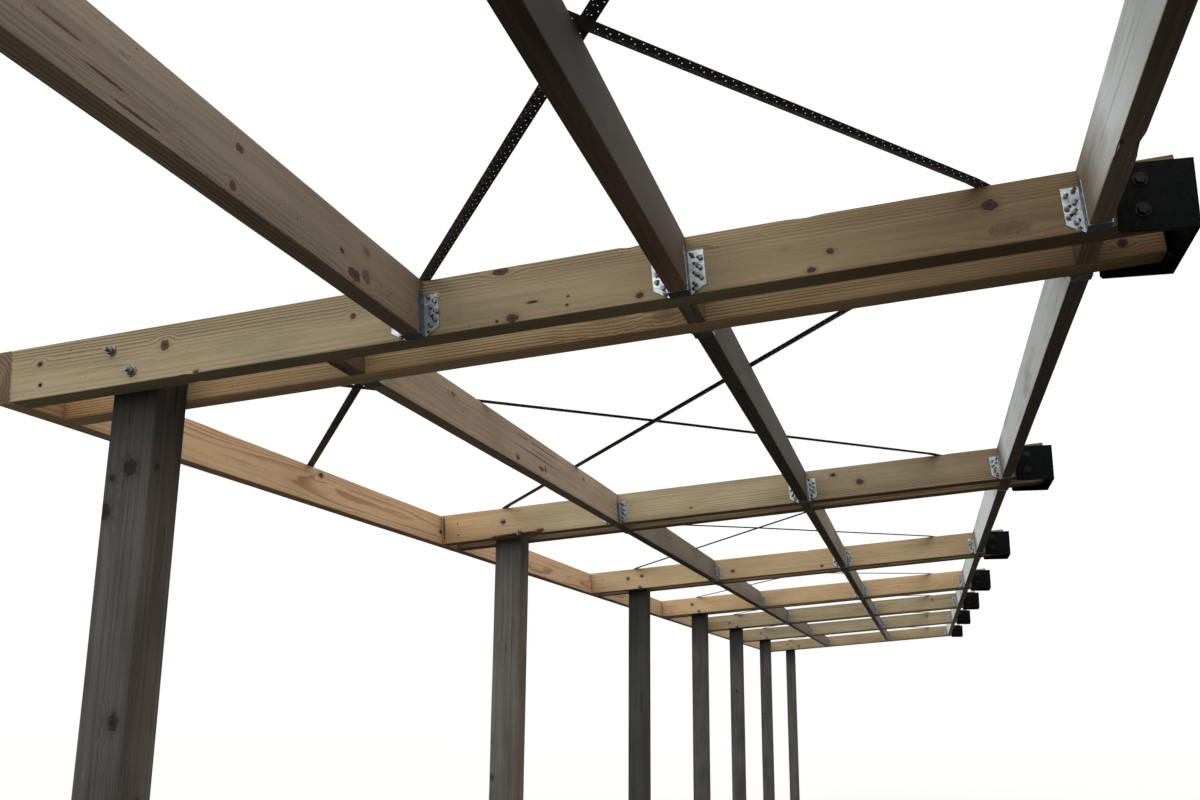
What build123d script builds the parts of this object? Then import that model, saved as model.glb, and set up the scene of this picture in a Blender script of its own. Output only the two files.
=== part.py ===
"""Lean-on timber pergola: posts on one side, steel brackets on a wall on the other.

Millimetres. The origin lies on the wall face of the second frame's bracket,
halfway up the beams. +X points at the wall, +Y runs along the pergola, +Z is up.
The posts and brackets are plumb. The roof is laid out level through the origin,
and each piece of it is turned to the fall when it is saved.
"""

import os
from math import cos, radians, tan

from build123d import *

os.makedirs("parts", exist_ok=True)

# Layout
bay_lengths = [2960, 2960, 2820, 2460, 2240, 2520, 3100]
origin_frame = 1
reach = 2835
roof_fall = 4.9
clear_height = 2300
outer_joist_inset = 869
wall_joist_inset = 200
first_bay_shift = 247

# Timber sections
timber_depth = 140
beam_thickness = 75
joist_thickness = 45
fascia_thickness = 45
fascia_spans = ((1, 3), (3, 5), (5, 7))
post_size = 130
post_inset = 255
beam_wall_gap = 30

# Wall bracket
plate_thickness = 8
bracket_height = 150
bracket_drop = 23
cheek_length = 155
cheek_corner = 6
bolt_hole = 13
bolt_from_wall = 106
bolt_heights = (13, -54)
wall_hole = 14
wall_hole_across = 190
wall_hole_up = 90

# Joist hanger
hanger_sheet = 2
hanger_height = 104
hanger_seat = 40
hanger_flange = 36
hanger_taper = 22

# Steel strap
strap_width = 30
strap_thickness = 1
strap_clearance = 0.3
lower_strap_outer_inset = 305
lower_strap_inner_inset = 2465
upper_strap_outer_inset = 205
upper_strap_inner_inset = 2380
first_strap_outer_inset = 510
first_strap_inner_inset = 2447
long_strap_fascia_y = 1514
long_strap_joist_y = -2240

# Places that follow from the sizes
frame_width = 2 * beam_thickness + post_size
frame_starts = [sum(bay_lengths[:k]) for k in range(len(bay_lengths) + 1)]
origin_start = frame_starts[origin_frame] + frame_width / 2
frame_near = [start - origin_start for start in frame_starts]
frame_far = [near + frame_width for near in frame_near]
frame_middle = [near + frame_width / 2 for near in frame_near]
fascia_inner = -reach
fascia_middle = fascia_inner - fascia_thickness / 2
beam_top = timber_depth / 2
beam_bottom = -timber_depth / 2
joist_spacing = (reach - wall_joist_inset - outer_joist_inset) / 2
joist_lines = [fascia_inner + outer_joist_inset + joist_spacing * n for n in range(3)]
post_middle = (fascia_inner + post_inset + post_size / 2) * cos(radians(roof_fall))
lower_strap_outer = fascia_inner + lower_strap_outer_inset
lower_strap_inner = fascia_inner + lower_strap_inner_inset
upper_strap_outer = fascia_inner + upper_strap_outer_inset
upper_strap_inner = fascia_inner + upper_strap_inner_inset
first_strap_outer = fascia_inner + first_strap_outer_inset
first_strap_inner = fascia_inner + first_strap_inner_inset
bracket_bolts = [(-bolt_from_wall, height) for height in bolt_heights]


def roof_level(across, up):
    """How high a plane of the roof, up above the middle of the beams, passes a plumb line."""
    return across * tan(radians(roof_fall)) + up / cos(radians(roof_fall))


ground = roof_level(fascia_inner * cos(radians(roof_fall)), beam_bottom) - clear_height


def save(part, label):
    """Label one finished piece and write it."""
    part.label = label
    export_step(part, f"parts/{label}.step")


def save_roof(part, label):
    """Turn a piece of the roof to the fall, down and away from the wall, and write it."""
    save(part.rotate(Axis.Y, -roof_fall), label)


def joist_middle(line, bay):
    """Where a joist stands across the pergola: one in the first bay stands further in."""
    if line == 0 and bay == 0:
        return joist_lines[line] + first_bay_shift
    return joist_lines[line]


# Plumb posts, from the ground to the top of the beams that clamp them
post_outer = post_middle - post_size / 2
post_inner = post_middle + post_size / 2
for number, middle in enumerate(frame_middle, start=1):
    with BuildPart() as post:
        with BuildSketch(Plane.XZ.offset(-middle)):
            with BuildLine():
                Polyline(
                    (post_outer, ground),
                    (post_inner, ground),
                    (post_inner, roof_level(post_inner, beam_top)),
                    (post_outer, roof_level(post_outer, beam_top)),
                    close=True,
                )
            make_face()
        extrude(amount=post_size / 2, both=True)
    save(post.part, f"post_{number}")

# Paired beams of each frame, one on each side of the post
for number, middle in enumerate(frame_middle, start=1):
    for side, direction in (("near", -1), ("far", 1)):
        beam_middle = middle + direction * (post_size + beam_thickness) / 2
        with BuildPart() as beam:
            with BuildSketch(Plane.YZ.offset(fascia_inner)):
                with Locations((beam_middle, 0)):
                    Rectangle(beam_thickness, timber_depth)
            extrude(amount=reach - beam_wall_gap)
        save_roof(beam.part, f"{side}_beam_{number}")

# Fascia boards across the outer ends of the beams, jointed at the middle of a frame;
# the first bay has none, so the first board starts flush with the second frame
for number, (first, last) in enumerate(fascia_spans, start=1):
    board_start = frame_near[first] if number == 1 else frame_middle[first]
    board_end = frame_far[last] if number == len(fascia_spans) else frame_middle[last]
    with BuildPart() as fascia:
        with BuildSketch(Plane.XZ.offset(-board_start)):
            with Locations((fascia_middle, 0)):
                Rectangle(fascia_thickness, timber_depth)
        extrude(amount=board_start - board_end)
    save_roof(fascia.part, f"fascia_{number}")

# Joists between the frames, one node for each line
for line in range(len(joist_lines)):
    with BuildPart() as joists:
        for bay in range(len(bay_lengths)):
            with BuildSketch(Plane.XZ.offset(-frame_far[bay])):
                with Locations((joist_middle(line, bay), 0)):
                    Rectangle(joist_thickness, timber_depth)
            extrude(amount=frame_far[bay] - frame_near[bay + 1])
    save_roof(joists.part, f"joists_line_{line + 1}")

# Short blocks between the two beams of a frame, in line with the joists
for line, line_middle in enumerate(joist_lines):
    with BuildPart() as blocks:
        for middle in frame_middle:
            with BuildSketch(Plane.XZ.offset(-middle)):
                with Locations((line_middle, 0)):
                    Rectangle(joist_thickness, timber_depth)
            extrude(amount=post_size / 2, both=True)
    save_roof(blocks.part, f"blocks_line_{line + 1}")

# Joist hangers, on the beam faces at both ends of each joist, one node for each line
joist_edge = joist_thickness / 2
sheet_edge = joist_edge + hanger_sheet
flange_edge = sheet_edge + hanger_flange
seat_bottom = beam_bottom - hanger_sheet
hanger_top = seat_bottom + hanger_height


def hanger(across, face, direction, flange_sides):
    """Add one folded hanger to the open part; the joist leaves the face along direction."""
    plane = Plane(origin=(across, face, 0), x_dir=(-direction, 0, 0), z_dir=(0, direction, 0))
    with BuildSketch(plane) as seat:
        with BuildLine():
            Polyline(
                (-sheet_edge, hanger_top),
                (-sheet_edge, seat_bottom),
                (sheet_edge, seat_bottom),
                (sheet_edge, hanger_top),
                (joist_edge, hanger_top),
                (joist_edge, beam_bottom),
                (-joist_edge, beam_bottom),
                (-joist_edge, hanger_top),
                close=True,
            )
        make_face()
    extrude(seat.sketch, amount=hanger_seat)
    for side in flange_sides:
        turn = -direction * side
        with BuildSketch(plane) as flange:
            with BuildLine():
                Polyline(
                    (turn * joist_edge, hanger_top),
                    (turn * flange_edge, hanger_top),
                    (turn * flange_edge, seat_bottom + hanger_taper),
                    (turn * sheet_edge, seat_bottom),
                    (turn * joist_edge, seat_bottom),
                    close=True,
                )
            make_face()
        extrude(flange.sketch, amount=hanger_sheet)


for line in range(len(joist_lines)):
    # On the line next to the wall, the brackets leave no room for the inner flanges
    flange_sides = (-1,) if line == len(joist_lines) - 1 else (-1, 1)
    with BuildPart() as hangers:
        for bay in range(len(bay_lengths)):
            across = joist_middle(line, bay)
            hanger(across, frame_far[bay], 1, flange_sides)
            hanger(across, frame_near[bay + 1], -1, flange_sides)
    save_roof(hangers.part, f"joist_hangers_line_{line + 1}")

# Wall brackets: a back plate with two cheeks that clamp the ends of the beams
with BuildPart() as brackets:
    for middle in frame_middle:
        with BuildSketch(Plane.YZ):
            with Locations((middle, -bracket_drop)):
                Rectangle(frame_width + 2 * plate_thickness, bracket_height)
                with GridLocations(wall_hole_across, wall_hole_up, 2, 2):
                    Circle(wall_hole / 2, mode=Mode.SUBTRACT)
        extrude(amount=-plate_thickness)
        for cheek_start in (middle - frame_width / 2 - plate_thickness, middle + frame_width / 2):
            with BuildSketch(Plane.XZ.offset(-cheek_start)) as cheek:
                with Locations((-cheek_length / 2, -bracket_drop)):
                    Rectangle(cheek_length, bracket_height)
                chamfer(cheek.vertices().group_by(Axis.X)[0], cheek_corner)
                with Locations(bracket_bolts):
                    Circle(bolt_hole / 2, mode=Mode.SUBTRACT)
            extrude(amount=-plate_thickness)
save(brackets.part, "wall_brackets")


# Steel strap braces on top of the timbers, pulled taut from corner to corner
def crossing(first, second):
    """The share of the first line, in plan, at which the second one crosses it."""
    (ax, ay), (bx, by) = first
    (cx, cy), (dx, dy) = second
    turn = (bx - ax) * (dy - cy) - (by - ay) * (dx - cx)
    return ((cx - ax) * (dy - cy) - (cy - ay) * (dx - cx)) / turn


def strap(ends, lifts):
    """Add one strap to the open part; lifts gives pairs of share along it and height."""
    start, end = Vector(*ends[0]), Vector(*ends[1])
    run = end - start
    plane = Plane(origin=(start.X, start.Y, beam_top), x_dir=run, z_dir=run.cross(Vector(0, 0, 1)))
    low = [(share * run.length, height) for share, height in lifts]
    high = [(along, height + strap_thickness) for along, height in reversed(low)]
    with BuildSketch(plane) as profile:
        with BuildLine():
            Polyline(*low, *high, close=True)
        make_face()
    extrude(profile.sketch, amount=strap_width / 2, both=True)


beam_seat = beam_thickness / 2
first_strap = (
    (first_strap_outer, frame_far[0] - beam_seat),
    (first_strap_inner, frame_near[1] + beam_seat),
)
falling_straps = []
rising_straps = []
for bay in range(1, len(bay_lengths)):
    from_y = frame_far[bay] - beam_seat
    to_y = frame_near[bay + 1] + beam_seat
    falling_straps.append(((lower_strap_outer, to_y), (lower_strap_inner, from_y)))
    rising_straps.append(((upper_strap_outer, from_y), (upper_strap_inner, to_y)))
long_strap = ((fascia_middle, long_strap_fascia_y), (joist_lines[2], long_strap_joist_y))

with BuildPart() as lower_straps:
    for ends in [first_strap] + falling_straps:
        strap(ends, [(0, 0), (1, 0)])
save_roof(lower_straps.part, "lower_straps")

strap_over = strap_thickness + strap_clearance
with BuildPart() as upper_straps:
    for ends, under in zip(rising_straps, falling_straps):
        strap(ends, [(0, 0), (crossing(ends, under), strap_over), (1, 0)])
save_roof(upper_straps.part, "upper_straps")

with BuildPart() as long_strap_part:
    over_second = (crossing(long_strap, rising_straps[0]), 2 * strap_over)
    over_first = (crossing(long_strap, first_strap), strap_over)
    strap(long_strap, [(0, 0), over_second, over_first, (1, 0)])
save_roof(long_strap_part.part, "long_strap")
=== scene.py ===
# Timber pergola: the looks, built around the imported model. Metres, +X to the wall, +Y along, +Z up.
import math
import random

import bmesh
import bpy
from mathutils import Matrix, Vector, geometry, noise


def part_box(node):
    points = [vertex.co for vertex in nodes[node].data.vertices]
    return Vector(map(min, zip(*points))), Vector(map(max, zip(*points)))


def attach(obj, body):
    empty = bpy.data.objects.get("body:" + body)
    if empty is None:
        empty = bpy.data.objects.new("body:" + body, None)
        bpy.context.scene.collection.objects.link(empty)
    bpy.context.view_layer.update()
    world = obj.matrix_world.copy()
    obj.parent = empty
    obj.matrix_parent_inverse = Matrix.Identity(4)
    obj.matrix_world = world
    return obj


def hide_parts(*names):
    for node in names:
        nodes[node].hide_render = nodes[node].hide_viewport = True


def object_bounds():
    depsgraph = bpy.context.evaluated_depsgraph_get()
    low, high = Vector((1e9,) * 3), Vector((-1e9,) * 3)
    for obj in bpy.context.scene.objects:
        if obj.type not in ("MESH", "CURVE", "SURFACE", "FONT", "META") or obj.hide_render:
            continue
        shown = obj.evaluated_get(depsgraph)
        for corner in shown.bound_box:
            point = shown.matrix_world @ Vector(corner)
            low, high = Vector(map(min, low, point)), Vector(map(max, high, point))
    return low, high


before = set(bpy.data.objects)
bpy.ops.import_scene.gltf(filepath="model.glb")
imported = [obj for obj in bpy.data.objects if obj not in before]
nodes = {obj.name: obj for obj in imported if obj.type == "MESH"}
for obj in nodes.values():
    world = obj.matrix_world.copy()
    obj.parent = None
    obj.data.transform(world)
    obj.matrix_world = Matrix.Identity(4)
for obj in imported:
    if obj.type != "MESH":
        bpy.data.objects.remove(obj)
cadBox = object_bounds()
scene = bpy.context.scene
scene.view_settings.view_transform = "Standard"
print("frame loaded:", len(nodes), "nodes")

# Camera
cameraSetup = {
    "place": (-0.5952, -2.6751, -1.0398),
    "right": (0.96791, 0.25119, 0.00732),
    "up": (0.05349, -0.2344, 0.97067),
    "sensor": 36,  # mm, as the lens
    "lens": 36.37,
    "sight": 200,
}


def makeCamera(setup):
    data = bpy.data.cameras.new("pergolaCamera")
    data.sensor_width = setup["sensor"]
    data.lens = setup["lens"]
    data.clip_end = setup["sight"]
    right, up = Vector(setup["right"]), Vector(setup["up"])
    turn = Matrix((right, up, right.cross(up))).transposed()
    camera = bpy.data.objects.new("pergolaCamera", data)
    camera.matrix_world = Matrix.Translation(Vector(setup["place"])) @ turn.to_4x4()
    scene.collection.objects.link(camera)
    scene.camera = camera


makeCamera(cameraSetup)
print("camera placed")

# The roof falls away from the wall: its pieces are laid out level, then turned about Y through the origin
roofFall = math.radians(4.9)
roofTurn = Matrix.Rotation(-roofFall, 4, "Y")
roofLevel = roofTurn.inverted()


# Tools for node trees
def link(tree, source, target):
    # the source is a socket or a plain value; a colour may be given without its alpha
    if isinstance(source, bpy.types.NodeSocket):
        tree.links.new(source, target)
    elif target.type == "RGBA":
        target.default_value = (*source, 1)
    else:
        target.default_value = source


class Maker:
    # adds nodes to one tree, each fed by sockets or plain values
    def __init__(self, tree):
        self.tree = tree

    def node(self, kind, settings=(), **values):
        node = self.tree.nodes.new(kind)
        for name, setting in dict(settings).items():
            setattr(node, name, setting)
        for label, value in values.items():
            link(self.tree, value, node.inputs[label.replace("_", " ")])
        return node

    def step(self, kind, settings=(), **values):
        # the first result of a Geometry Nodes node
        return self.node("GeometryNode" + kind, settings, **values).outputs[0]

    def operate(self, kind, operation, values, clamp=False):
        node = self.node(kind, {"operation": operation})
        if clamp:
            node.use_clamp = True
        for value, socket in zip(values, node.inputs):
            link(self.tree, value, socket)
        return node.outputs

    def math(self, operation, *values, clamp=False):
        return self.operate("ShaderNodeMath", operation, values, clamp)[0]

    def plus(self, first, second):
        return self.math("ADD", first, second)

    def minus(self, first, second):
        return self.math("SUBTRACT", first, second)

    def times(self, first, *others):
        for other in others:
            first = self.math("MULTIPLY", first, other)
        return first

    def vector(self, operation, *values):
        return self.operate("ShaderNodeVectorMath", operation, values)["Vector"]

    def length(self, vector):
        return self.operate("ShaderNodeVectorMath", "LENGTH", (vector,))["Value"]

    def resize(self, vector, factor):
        node = self.node("ShaderNodeVectorMath", {"operation": "SCALE"}, Scale=factor)
        link(self.tree, vector, node.inputs[0])
        return node.outputs[0]

    def split(self, vector):
        return self.node("ShaderNodeSeparateXYZ", Vector=vector).outputs

    def join(self, **parts):
        return self.node("ShaderNodeCombineXYZ", **parts).outputs[0]

    def noise(self, vector, scale, detail=2.0, rough=0.5, output="Fac"):
        node = self.node("ShaderNodeTexNoise", Vector=vector, Scale=scale, Detail=detail, Roughness=rough)
        return node.outputs[output]

    def spread(self, value, low, high, outLow=0.0, outHigh=1.0):
        values = {"Value": value, "From_Min": low, "From_Max": high, "To_Min": outLow, "To_Max": outHigh}
        return self.node("ShaderNodeMapRange", {"interpolation_type": "SMOOTHSTEP"}, **values).outputs[0]

    def mix(self, share, first, second, blend="MIX"):
        node = self.node("ShaderNodeMix", {"data_type": "RGBA", "blend_type": blend}, Factor=share)
        link(self.tree, first, node.inputs[6])
        link(self.tree, second, node.inputs[7])
        return node.outputs[2]

    def attribute(self, name):
        return self.node("ShaderNodeAttribute", {"attribute_name": name}).outputs["Vector"]

    def objectPlace(self):
        return self.node("ShaderNodeTexCoord").outputs["Object"]

    def group(self, group, **values):
        return self.node("ShaderNodeGroup", {"node_tree": group}, **values).outputs

    def bump(self, strength, distance, height):
        return self.node("ShaderNodeBump", Strength=strength, Distance=distance, Height=height).outputs[0]

    def finish(self, target, results):
        for label, value in results.items():
            link(self.tree, value, target.inputs[label])


def newGroup(name, kind, inputs, outputs):
    # a Shader or Geometry group; an input is given by its kind, or by its default value if it is a number
    group = bpy.data.node_groups.new(name, kind + "NodeTree")
    for direction, sockets in (("INPUT", inputs), ("OUTPUT", outputs)):
        for label, given in sockets.items():
            own = given if isinstance(given, str) else "Float"
            socket = group.interface.new_socket(label, in_out=direction, socket_type="NodeSocket" + own)
            if own != given:
                socket.default_value = given
    return Maker(group), group.nodes.new("NodeGroupInput").outputs, group.nodes.new("NodeGroupOutput")


def newMaterial(name):
    material = bpy.data.materials.new(name)
    material.use_nodes = True
    return material, Maker(material.node_tree), material.node_tree.nodes["Principled BSDF"]


# Wood grain, shared by every timber
def makeWoodGrain():
    # Board: place in the trunk, metres; Knot: place from the nearest knot in its radii, and its darkness
    make, given, result = newGroup(
        "woodGrain",
        "Shader",
        {"Board": "Vector", "Knot": "Vector", "Ring": 0.009, "Warp": 0.03, "Checks": 0.3},
        dict.fromkeys(("Late", "Fibre", "Knot", "Rim", "Halo", "Check", "Tear", "Blotch", "Height"), "Float"),
    )
    board = given["Board"]
    plus, minus, times, spread = make.plus, make.minus, make.times, make.spread

    def scaled(vector, along, across):
        return make.vector("MULTIPLY", vector, (along, across, across))

    def sample(along, across, detail=2.0, rough=0.5):
        return make.noise(scaled(board, along, across), 1.0, detail, rough)

    def wander(along, across, amount):
        # moves the place across the grain
        colour = make.noise(scaled(board, along, across), 1.0, 2, output="Color")
        return make.resize(scaled(make.vector("SUBTRACT", colour, (0.5, 0.5, 0.5)), 0.0, 1.0), amount)

    bent = make.vector("ADD", board, wander(0.55, 4.0, given["Warp"]))
    bent = make.vector("ADD", bent, wander(4.0, 30.0, 0.0035))

    # the grain flows round a knot, and the knot has rings of its own
    knot = make.split(given["Knot"])
    depth = knot["Z"]
    away = make.length(make.vector("MULTIPLY", given["Knot"], (1.0, 1.0, 0.0)))
    away = plus(away, spread(sample(90.0, 90.0), 0.3, 0.7, -0.16, 0.16))
    push = times(knot["Y"], make.math("EXPONENT", times(away, away, -0.2)), -0.012)
    axes = make.split(bent)
    high = make.math("POWER", plus(axes["Z"], push), 2.0)
    radius = make.math("SQRT", plus(make.math("POWER", axes["Y"], 2.0), high))
    count = make.math("DIVIDE", times(radius, plus(times(radius, 3.0), 1.0)), given["Ring"])
    count = plus(count, times(make.noise(scaled(bent, 0.3, 26.0), 1.0, 1), 1.3))
    step = make.math("FRACT", count)
    late = times(spread(step, 0.35, 0.88), spread(step, 0.92, 1.0, 1.0, 0.0))
    late = times(late, spread(sample(0.8, 12.0), 0.34, 0.6, 0.2, 1.0))
    late = times(late, spread(radius, 0.03, 0.085, 0.45, 1.1))

    core = times(spread(away, 1.0, 0.82), depth)
    knotRings = spread(make.math("SINE", times(away, 15.0)), -1.0, 1.0)
    edge = times(spread(away, 0.68, 0.9), spread(away, 1.12, 0.95))
    edge = times(edge, spread(sample(40.0, 60.0), 0.35, 0.6, 0.25, 0.9))
    rim = times(make.math("MAXIMUM", edge, times(spread(away, 0.7, 0.05), 0.8)), depth)
    halo = times(spread(away, 2.4, 0.9), make.math("MINIMUM", depth, 1.0))
    plain = times(late, make.math("SUBTRACT", 1.0, core, clamp=True))
    late = plus(plain, times(knotRings, core, 0.6))

    fibre = times(sample(5.0, 240.0, 2, 0.6), 0.35)
    fibre = plus(fibre, times(sample(1.4, 80.0, 3, 0.6), 0.65))
    line = make.math("ABSOLUTE", minus(sample(1.3, 46.0), 0.5))
    place = spread(sample(2.4, 12.0, 1), 0.62, 0.7)
    check = times(spread(line, 0.012, 0.002), place, given["Checks"])
    tear = spread(sample(30.0, 220.0), 0.64, 0.72)
    tear = times(tear, spread(sample(1.6, 14.0), 0.54, 0.66))

    height = minus(times(fibre, 0.6), times(check, 1.5))
    height = plus(height, times(late, 0.3))
    height = minus(height, times(plus(rim, tear), 0.6))
    make.finish(result, {
        "Late": late, "Fibre": fibre, "Knot": core, "Rim": rim, "Halo": halo, "Check": check, "Tear": tear,
        "Blotch": sample(1.6, 8.0, 4, 0.6), "Height": height,
    })
    return make.tree


# Dirt and weather, shared by timber and steel
def makeWeather():
    inputs = {"Point": "Vector", "Size": 3.0, "Amount": 0.5}
    outputs = dict.fromkeys(("Stain", "Speck", "Dust"), "Float")
    make, given, result = newGroup("weather", "Shader", inputs, outputs)
    point = given["Point"]
    stain = make.times(make.spread(make.noise(point, given["Size"], 5), 0.5, 0.72), given["Amount"])
    speck = make.spread(make.noise(point, 140.0), 0.66, 0.74)
    speck = make.times(speck, make.spread(make.noise(point, 7.0), 0.45, 0.65))
    slope = make.split(make.node("ShaderNodeNewGeometry").outputs["Normal"])
    dust = make.times(make.spread(slope["Z"], 0.3, 1.0), make.noise(point, 12.0, 3))
    make.finish(result, {"Stain": stain, "Speck": speck, "Dust": dust})
    return make.tree


woodGrain = makeWoodGrain()
weather = makeWeather()


def timberMaterial(name, look):
    material, make, shader = newMaterial(name)
    tone = make.split(make.attribute("tone"))
    board, knot = make.attribute("board"), make.attribute("knot")
    sizes = {"Ring": look["ring"], "Warp": look["warp"], "Checks": look["checks"]}
    grain = make.group(woodGrain, Board=board, Knot=knot, **sizes)
    age = make.group(weather, Point=make.objectPlace(), Size=look["stainSize"], Amount=look["stain"])

    def over(colour, mask, share, tint):
        return make.mix(make.math("MULTIPLY", mask, share, clamp=True), colour, tint)

    def shaded(colour, value):
        return make.mix(1.0, colour, value, "MULTIPLY")

    colour = over(look["early"], grain["Late"], look["lateShare"], look["late"])
    for mask, high, change in (("Fibre", 0.72, look["fibre"]), ("Blotch", 0.7, look["blotch"])):
        colour = shaded(colour, make.spread(grain[mask], 0.3, high, 1.0 - change, 1.0 + change))
    colour = over(colour, tone["Y"], 1.0, shaded(colour, look["warm"]))
    colour = over(colour, grain["Halo"], 0.45, look["halo"])
    colour = over(colour, grain["Knot"], 0.92, look["knot"])
    colour = over(colour, grain["Rim"], 0.9, look["rim"])
    colour = over(colour, grain["Check"], 1.0, look["rim"])
    colour = over(colour, age["Stain"], 1.0, shaded(colour, look["stainColour"]))
    colour = over(colour, grain["Tear"], look["tear"], look["tearColour"])
    colour = over(colour, age["Speck"], look["speck"], look["rim"])
    colour = over(colour, age["Dust"], look["dust"], look["dustColour"])
    # brightness from the tone attribute: the wood's own tone, with painted shade and light on some boards and
    # sides
    bright = shaded(colour, tone["X"])
    wash = make.times(tone["Z"], make.spread(grain["Blotch"], 0.2, 0.5, 0.35, 1.0))
    wash = make.times(wash, make.spread(grain["Fibre"], 0.3, 0.5, 0.6, 1.0))
    make.finish(shader, {
        "Base Color": over(bright, wash, look["washShare"], look["wash"]),
        "Roughness": make.spread(grain["Late"], 0.0, 1.0, look["rough"], look["rough"] - 0.12),
        "Specular IOR Level": look["specular"],
        "Normal": make.bump(look["bump"], 0.0015, grain["Height"]),
    })
    return material


newTimberLook = {
    "ring": 0.011, "warp": 0.045, "checks": 0.4, "lateShare": 0.95, "fibre": 0.12, "blotch": 0.14,
    "early": (0.31, 0.26, 0.165), "late": (0.15, 0.1, 0.05), "warm": (1.1, 0.87, 0.72),
    "halo": (0.19, 0.11, 0.06), "knot": (0.075, 0.031, 0.02), "rim": (0.018, 0.011, 0.008),
    "stain": 0.4, "stainSize": 2.2, "stainColour": (0.72, 0.76, 0.72), "speck": 0.6,
    "tear": 0.4, "tearColour": (0.07, 0.05, 0.035), "dust": 0.5, "dustColour": (0.16, 0.15, 0.12),
    "wash": (0.74, 0.8, 0.8), "washShare": 0.0, "rough": 0.78, "specular": 0.22, "bump": 0.4,
}
timberLooks = {
    "beam": {},
    "joist": {
        "early": (0.2, 0.164, 0.122), "late": (0.125, 0.09, 0.06), "speck": 0.8, "tear": 0.9, "stain": 0.25,
        "washShare": 1.0,
    },
    "fascia": {
        "early": (0.6, 0.43, 0.26), "late": (0.3, 0.16, 0.07), "ring": 0.015, "warp": 0.075, "stain": 0.15,
        "lateShare": 0.75, "fibre": 0.06, "blotch": 0.06,
    },
    "post": {
        "early": (0.07, 0.068, 0.065), "late": (0.036, 0.034, 0.033), "halo": (0.035, 0.03, 0.026),
        "knot": (0.022, 0.018, 0.015), "rim": (0.006, 0.005, 0.004), "warm": (1.1, 0.92, 0.78), "checks": 1.0,
        "lateShare": 0.5, "fibre": 0.22, "blotch": 0.25, "stain": 0.6, "stainColour": (0.6, 0.62, 0.62),
        "rough": 0.88, "bump": 0.8, "warp": 0.02, "tear": 0.8, "tearColour": (0.15, 0.15, 0.15),
    },
}
timberMaterials = {}
for name, change in timberLooks.items():
    timberMaterials[name] = timberMaterial(name + "Timber", {**newTimberLook, **change})
print("wood materials made")


# Timbers
timberSetup = {
    "arris": 0.003,  # rounding of the long edges
    "arrisWaver": 0.5,
    "waverScale": (3.0, 7.3, 1.7),  # along the edge, from edge to edge and from timber to timber
    "arrisMost": 0.8,  # of half the thickness
    "arcSteps": 3,
    "sideSteps": (0.03, 0.2, 0.4, 0.6, 0.8, 0.97),
    "hollow": 0.0009,  # how far a sawn face may fall short of its size
    "hollowScale": (2.1, 9),  # how fast the face wanders along and across
    "step": 0.05,
    "endEase": 0.0015,
    "endTone": 0.42,  # end grain is darker
    "knotReach": 2.6,  # how far a knot's halo goes, in its own radii
    "knotMargin": 0.05,  # drawn knots stay this far from the ends
    "knotSize": (0.006, 0.015),
    "knotStretch": (1.0, 1.6),
    "knotDark": (0.4, 1.0),
    "pithAcross": (0.015, 0.06),  # from the middle of the board, to either side
    "pithDeep": (-0.05, 0.05),
    "trunk": (0, 40),  # where along the grain a board is cut
    "brightness": (0.92, 1.08),
    "warmth": (0.0, 0.6),
    "noKnot": (60.0, 60.0, 0.0),  # far away and not dark
    "slantReach": 0.2,  # how far below its top a slanted post is stretched
    "washFade": 0.3,  # a washed face fades out over this length
    "washClear": 0.3,  # and is clear for this share of it at the end
    "sharpAngle": 50,
}
axisOrder = {0: (0, 1, 2), 1: (1, 0, 2), 2: (2, 0, 1)}  # along, across and deep, for a timber along X, Y or Z


def sectionPoints(halfT, halfD, radii):
    # one loop round the section, as (across, deep, side, normal across, normal deep)
    steps = timberSetup["arcSteps"]
    arcs = []
    for index, (signT, signD, firstAngle) in enumerate(((-1, -1, 270), (-1, 1, 180), (1, 1, 90), (1, -1, 0))):
        radius = radii[index]
        arc = []
        for turn in range(steps + 1):
            angle = math.radians(firstAngle - 90 * turn / steps)
            normalT, normalD = math.cos(angle), math.sin(angle)
            side = (index - 1) % 4 if turn < steps / 2 else index
            pointT = signT * (halfT - radius) + radius * normalT
            pointD = signD * (halfD - radius) + radius * normalD
            arc.append((pointT, pointD, side, normalT, normalD))
        arcs.append(arc)
    points = []
    for side, normal in enumerate(((-1, 0), (0, 1), (1, 0), (0, -1))):
        points += arcs[side]
        (startT, startD, *_), (endT, endD, *_) = arcs[side][-1], arcs[(side + 1) % 4][0]
        for share in timberSetup["sideSteps"]:
            place = (startT + (endT - startT) * share, startD + (endD - startD) * share)
            points.append((*place, side, *normal))
    return points


def toneAt(tones, share):
    # brightness and warmth at a share of the board's length; the brightness holds painted shade and light on
    # some boards as well as the wood's own tone
    for (start, *first), (end, *second) in zip(tones, tones[1:]):
        if share <= end or (end, *second) == tones[-1]:
            mix = min(1.0, max(0.0, (share - start) / max(end - start, 1e-6)))
            return [a + (b - a) * mix for a, b in zip(first, second)]


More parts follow.
